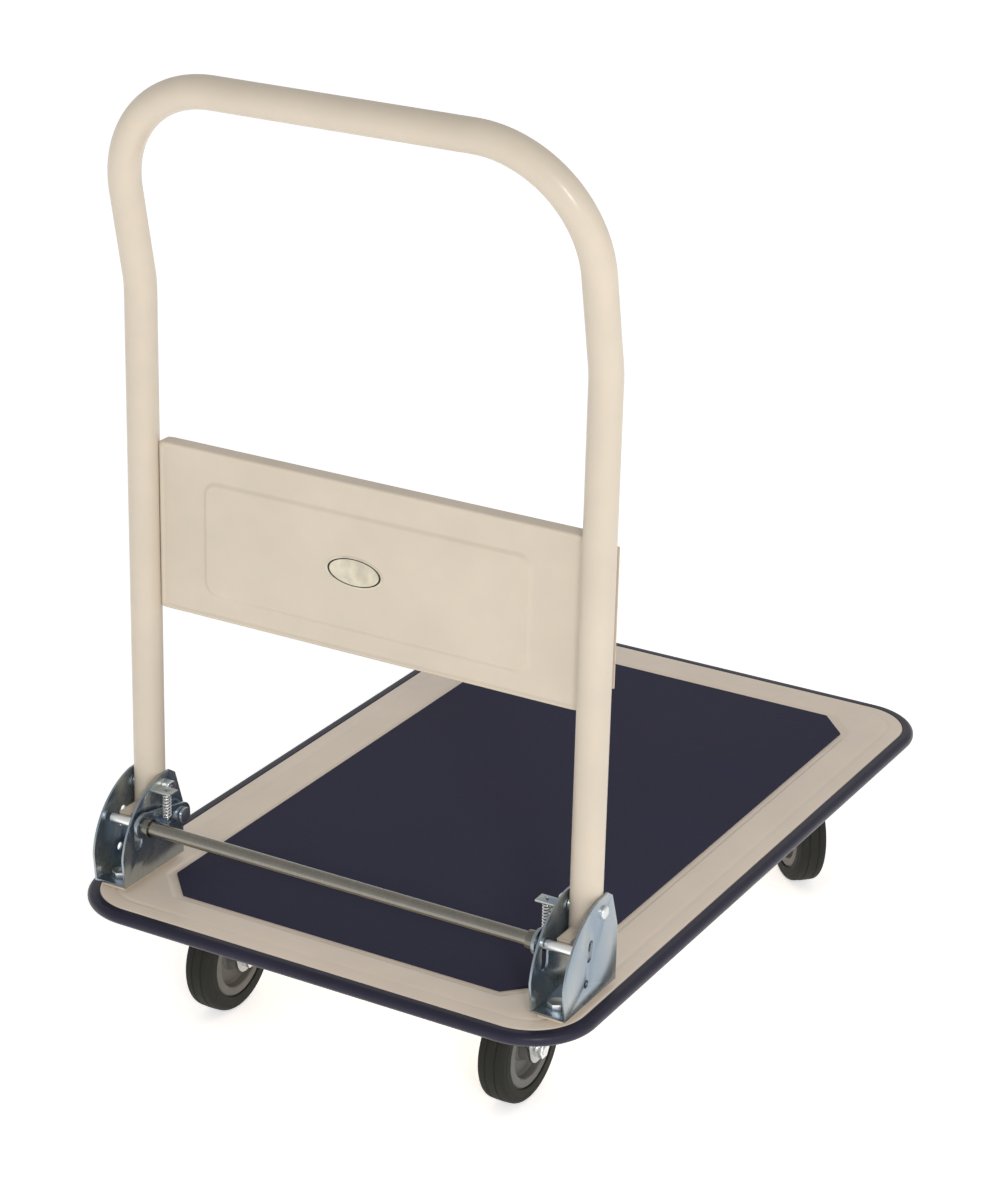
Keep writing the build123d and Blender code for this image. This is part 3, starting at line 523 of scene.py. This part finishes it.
def handle_panel():
    """Panel pressing: flanged rim with a soft bend and a hem, softly raised middle field."""
    middle, half_z = (panel_low.z + panel_high.z) / 2, (panel_high.z - panel_low.z) / 2
    bend, corner = 2.0 * MM, 2.5 * MM
    rings = [panel_ring(PANEL_HALF_Y, half_z, corner, panel_high.x, middle)]
    for inset, depth in arc((bend, bend), bend, 180, 270, 6):
        rings.append(panel_ring(PANEL_HALF_Y - inset, half_z - inset, corner,
                                PANEL_FACE + depth, middle))
    field = PANEL_FACE + HEM_FALL
    for step, x in ((1, PANEL_FACE), (2, field), (3, field)):   # the third keeps the field flat
        inset = bend + step * HEM
        rings.append(panel_ring(PANEL_HALF_Y - inset, half_z - inset, corner, x, middle))
    pad_middle, pad_half = (PAD_LOW + PAD_HIGH) / 2, (PAD_HIGH - PAD_LOW) / 2
    ramp, steps, pad_corner = 5.0 * MM, 8, 9.0 * MM
    for i in range(steps + 1):
        share = i / steps
        rise = (1 - cos(pi * share)) / 2 * (field - panel_low.x)
        grow = ramp * (1 - share)
        rings.append(panel_ring(PAD_HALF_Y + grow, pad_half + grow, pad_corner + grow,
                                field - rise, pad_middle))
    mesh = bmesh.new()
    rows = skin_loops(mesh, rings)
    cap(mesh, rows[-1])
    thicken(mesh, PANEL_SHEET)
    tab_x = panel_high.x - PANEL_SHEET / 2
    tab_y = (PANEL_HALF_Y - PANEL_SHEET + panel_high.y) / 2
    for _, side in SIDES:
        size = (PANEL_SHEET, panel_high.y - PANEL_HALF_Y + PANEL_SHEET, TAB_HIGH - TAB_LOW)
        place = Matrix.Translation((tab_x, side * tab_y, (TAB_LOW + TAB_HIGH) / 2))
        tab = bmesh.ops.create_cube(mesh, size=1, matrix=place @ Matrix.Diagonal((*size, 1)))
        rims = {edge for vert in tab["verts"] for edge in vert.link_edges}
        bmesh.ops.bevel(mesh, geom=list(rims), offset=TAB_SOFT, segments=2, affect="EDGES")
    return piece("handle_panel_pressing", mesh, "handle_paint", "handle", ("handle_panel",),
                 smooth_deg=40)


def badge_layer(name, half_y, half_z, low, high, hole=0.0, material=None, replaces=()):
    """Oval film on the panel's raised field, with a hole as a share of its size."""
    label_low, label_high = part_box("panel_label")
    middle = (label_low + label_high) / 2
    face = label_high.x
    shares = [(1, low), (1, high)] + ([(hole, high), (hole, low)] if hole else [])
    loops = [[Vector((face - depth, middle.y + cos(t) * half_y * share,
                      middle.z + sin(t) * half_z * share)) for t in PANEL_TURNS]
             for share, depth in shares]
    mesh = bmesh.new()
    rows = skin_loops(mesh, loops, closed=bool(hole))
    if not hole:
        cap(mesh, rows[0])
        cap(mesh, rows[-1])
    return piece(name, mesh, "badge", "handle", replaces, material=material)


def badge():
    """Blank oval sticker with a thin printed border."""
    label_low, label_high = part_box("panel_label")
    half_y, half_z = (label_high.y - label_low.y) / 2, (label_high.z - label_low.z) / 2
    film, ink_low, ink_high = 0.35 * MM, 0.30 * MM, 0.42 * MM
    border_y, border_z = 0.93, 0.90         # shares of the film's size
    border_hole = 0.93                      # share of the border's size
    badge_layer("badge_film_oval", half_y, half_z, 0, film, replaces=("panel_label",))
    badge_layer("badge_border", half_y * border_y, half_z * border_z, ink_low, ink_high,
                border_hole, INK)


# ---- springs, bar and pivot bolts ---------------------------------------------------------
def latch_spring(name):
    """Stretched extension spring with a straight hook at each end."""
    low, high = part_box(f"latch_spring_{name}")
    middle = (low + high) / 2
    wire = 0.7 * MM
    coil_r = (high.x - low.x) / 2 - wire
    hook_top, hook_bottom, turns, turn_steps = 4.7 * MM, 2.5 * MM, 8, 20
    bottom, top = low.z + hook_bottom, high.z - hook_top
    steps = turns * turn_steps
    path = [Vector((middle.x, middle.y, low.z))]
    for i in range(steps + 1):
        turn = 2 * pi * turns * i / steps
        path.append(Vector((middle.x + coil_r * cos(turn), middle.y + coil_r * sin(turn),
                            bottom + (top - bottom) * i / steps)))
    path.append(Vector((middle.x, middle.y, high.z)))
    mesh = bmesh.new()
    tube_along(mesh, path, wire, sides=10)
    spring = piece(f"latch_spring_{name}_coil", mesh, "spring_steel", None, smooth_deg=60)
    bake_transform(spring)
    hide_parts(f"latch_spring_{name}")
    return spring


def lock_bar():
    """Thick middle stretch, with slimmer bright ends that reach between the cheeks."""
    low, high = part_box("lock_bar")
    middle, bar_r, end_r, soft = (low + high) / 2, (high.z - low.z) / 2, 4.2 * MM, 0.6 * MM
    past_lever, overlap = 1.0 * MM, 2.0 * MM
    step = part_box("release_lever_left")[1].y + past_lever
    along = Vector((0, 1, 0))
    mesh = bmesh.new()
    spindle(mesh, [(bar_r - soft, -step), (bar_r, soft - step), (bar_r, step - soft),
                   (bar_r - soft, step)], middle, along)
    piece("lock_bar_middle", mesh, "bar_steel", "release_bar", ("lock_bar",), smooth_deg=40)
    for name, side in SIDES:
        mesh = bmesh.new()
        spindle(mesh, [(end_r, step - overlap), (end_r, high.y - soft), (end_r - soft, high.y)],
                middle, along * side)
        piece(f"lock_bar_end_{name}", mesh, "fasteners", "release_bar", smooth_deg=40)


def pivot_bolts():
    """Handle pivots: bolts with a low dome head outside the outer cheek."""
    low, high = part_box("handle_pivot_bolts")
    bracket_end, nut_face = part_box("hinge_bracket_left")[1].y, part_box("handle_pivot_nuts")[1].y
    middle = (low + high) / 2
    shank_r, head_r, rim, dome, nut = 4.0 * MM, 5.7 * MM, 1.4 * MM, 2.0 * MM, 6.5 * MM
    chamfer, dome_deg, dome_steps = 0.5 * MM, 80, 6
    outline = [(shank_r - chamfer, nut_face - nut), (shank_r, nut_face - nut + chamfer),
               (shank_r, bracket_end), (head_r, bracket_end)]
    for i in range(dome_steps + 1):
        turn = radians(dome_deg * i / dome_steps)
        outline.append((head_r * cos(turn), bracket_end + rim + dome * sin(turn)))
    mesh = bmesh.new()
    for _, side in SIDES:
        spindle(mesh, outline, middle, Vector((0, side, 0)))
    piece("pivot_bolts_domed", mesh, SLOT_OF["handle_pivot_bolts"], "deck",
          ("handle_pivot_bolts",), smooth_deg=30)


# ---- wheels -------------------------------------------------------------------------------
WHEEL_R = JOINTS["rear_left_wheel_spin"]["pos_m"][2]
RIM_R, TYRE_HALF, TYRE_ROUND = 36.5 * MM, 13.0 * MM, 5.0 * MM


def tyre_profile():
    """Slightly crowned tread with two shallow grooves, rounded shoulders, stepped side wall."""
    groove, depth, crown = 4.5 * MM, 0.8 * MM, 0.3 * MM
    groove_top, groove_floor = 1.0 * MM, 0.4 * MM           # half widths
    bead, wall_step = 0.6 * MM, 0.5 * MM
    step_low, step_high = WHEEL_R - 7.0 * MM, WHEEL_R - 6.2 * MM
    half = [(RIM_R, TYRE_HALF - bead), (RIM_R + bead, TYRE_HALF),
            (step_low, TYRE_HALF), (step_high, TYRE_HALF - wall_step)]
    half += arc((WHEEL_R - crown - TYRE_ROUND, TYRE_HALF - TYRE_ROUND), TYRE_ROUND, 70, 0, 8)
    half += [(WHEEL_R - crown * 0.4, groove + groove_top), (WHEEL_R - depth, groove + groove_floor),
             (WHEEL_R - depth, groove - groove_floor), (WHEEL_R, groove - groove_top)]
    return half + [(r, -across) for r, across in reversed(half)]


def hub_profile():
    """Wheel centre: raised rim ring, dished web, bearing boss."""
    bore, boss_r, boss = 6.2 * MM, 12.0 * MM, 14.8 * MM
    web, lip_r, rim = 4.0 * MM, 28.0 * MM, 12.0 * MM
    soft, rim_soft, rim_fall = 0.8 * MM, 1.5 * MM, 1.0 * MM
    steep, foot, foot_rise = 1.0 * MM, 3.0 * MM, 2.0 * MM   # slopes from the web to boss and lip
    half = [(bore, boss - soft), (bore + soft, boss), (boss_r - soft, boss), (boss_r, boss - soft)]
    half += [(boss_r + steep, web + foot_rise), (boss_r + foot, web)]
    half += [(lip_r - foot, web), (lip_r - steep, web + foot_rise), (lip_r, rim - soft)]
    half += [(lip_r + soft, rim), (RIM_R - rim_soft, rim), (RIM_R, rim - rim_fall)]
    return half + [(r, -across) for r, across in reversed(half)]


def wheels():
    for end in ("rear", "front"):
        for name, _ in SIDES:
            spin = JOINTS[f"{end}_{name}_wheel_spin"]
            body = spin["child"]
            for part, profile, slot in (("tyre", tyre_profile(), "tyre"),
                                        ("hub", hub_profile(), "wheel_centre")):
                mesh = bmesh.new()
                lathe(mesh, profile, spin["pos_m"], spin["axis"])
                piece(f"{end}_{name}_{part}_turned", mesh, slot, body,
                      (f"{end}_{name}_{part}",), smooth_deg=30)


# ---- stage --------------------------------------------------------------------------------
CAMERA_PLACE = Vector((-2.2812, -1.2437, 1.3820))
CAMERA_AHEAD = Vector((0.80887, 0.45229, -0.37572))
CAMERA_ROLL_DEG, CAMERA_LENS = 1.492, 96.39
AIM = Vector((0, 0, 0.35))
FLOOR_HALF, FLOOR_DROP = 25, 0.5 * MM       # a little under the tyres, so that it doesn't cut them
FLOOR_GLOW, ROOM_HORIZON, ROOM_ZENITH = 0.51, 0.77, 0.44


def turned_to(ahead, roll_deg=0.0):
    """Rotation that looks along a direction, with the right side tilted up by the roll."""
    ahead = ahead.normalized()
    right = ahead.cross(Vector((0, 0, 1))).normalized()
    up = right.cross(ahead)
    roll = radians(roll_deg)
    tilted = right * cos(roll) + up * sin(roll)
    return Matrix((tilted, tilted.cross(ahead), -ahead)).transposed().to_quaternion()


def camera():
    data = bpy.data.cameras.new("camera")
    data.lens = CAMERA_LENS
    data.clip_end = 60
    made = bpy.data.objects.new("camera", data)
    made.location = CAMERA_PLACE
    made.rotation_mode = "QUATERNION"
    made.rotation_quaternion = turned_to(CAMERA_AHEAD, CAMERA_ROLL_DEG)
    bpy.context.scene.collection.objects.link(made)
    bpy.context.scene.camera = made


def soft_light(name, place, size, watts):
    data = bpy.data.lights.new(name, "AREA")
    data.shape = "DISK"
    data.size = size
    data.energy = watts
    made = bpy.data.objects.new(name, data)
    made.location = place
    made.rotation_mode = "QUATERNION"
    made.rotation_quaternion = turned_to(AIM - Vector(place))
    bpy.context.scene.collection.objects.link(made)


def floor():
    """White paper that is lit from below as well, so that shadows on it stay faint."""
    paper = Shader("paper_floor", specular=0.1)
    fibre = paper.noise(0.8, detail=2)
    paper.main.inputs["Emission Color"].default_value = (1, 1, 1, 1)
    paper.main.inputs["Emission Strength"].default_value = FLOOR_GLOW
    paper.set(Base_Color=paper.ramp(fibre, (0.3, (0.94, 0.94, 0.94)), (0.7, (0.96, 0.96, 0.96))),
              Roughness=paper.level(fibre, 0.9, 0.95))
    mesh = bmesh.new()
    bmesh.ops.create_grid(mesh, x_segments=1, y_segments=1, size=FLOOR_HALF)
    data = bpy.data.meshes.new("floor")
    mesh.to_mesh(data)
    mesh.free()
    data.materials.append(paper.material)
    made = bpy.data.objects.new("floor", data)
    made.location.z = -FLOOR_DROP
    bpy.context.scene.collection.objects.link(made)


def room():
    """White behind the cart; what lights the cart is brightest round the horizon."""
    world = bpy.data.worlds.new("studio")
    world.use_nodes = True
    tree = world.node_tree
    rays = tree.nodes.new("ShaderNodeLightPath")
    place = tree.nodes.new("ShaderNodeTexCoord")
    split = tree.nodes.new("ShaderNodeSeparateXYZ")
    height = tree.nodes.new("ShaderNodeValToRGB")
    height.color_ramp.elements[0].color = (*[ROOM_HORIZON] * 3, 1)
    height.color_ramp.elements[1].color = (*[ROOM_ZENITH] * 3, 1)
    mix = tree.nodes.new("ShaderNodeMix")
    mix.data_type = "RGBA"
    mix.inputs[7].default_value = (1, 1, 1, 1)
    tree.links.new(place.outputs["Generated"], split.inputs["Vector"])
    tree.links.new(split.outputs["Z"], height.inputs["Fac"])
    tree.links.new(rays.outputs["Is Camera Ray"], mix.inputs[0])
    tree.links.new(height.outputs["Color"], mix.inputs[6])
    tree.links.new(mix.outputs[2], tree.nodes["Background"].inputs["Color"])
    bpy.context.scene.world = world


def stage():
    bpy.context.scene.view_settings.view_transform = "Standard"
    room()
    floor()
    soft_light("key", place=(-3.1, -2.5, 1.9), size=0.8, watts=44)
    soft_light("fill", place=(-1.2, -4.0, 1.6), size=2.0, watts=14)


# ---- the whole cart -----------------------------------------------------------------------
camera()
stage()
deck_pan()
deck_mat()
edge_bumper()
handle_tube()
handle_panel()
badge()
for spring_side, _ in SIDES:
    latch_spring(spring_side)
lock_bar()
pivot_bolts()
wheels()
REPLACED = {"deck_pan", "deck_mat", "edge_bumper", "handle_tube", "handle_panel", "panel_label",
            "latch_spring_left", "latch_spring_right", "lock_bar", "handle_pivot_bolts"}
EDGE_SOFT = {"locking_noses": 0.0}          # broken edges would leave slivers on the noses
for node_name in sorted(NODES):
    if node_name not in REPLACED and not node_name.endswith(("_tyre", "_hub")):
        refine(node_name, EDGE_SOFT.get(node_name, 0.35 * MM))
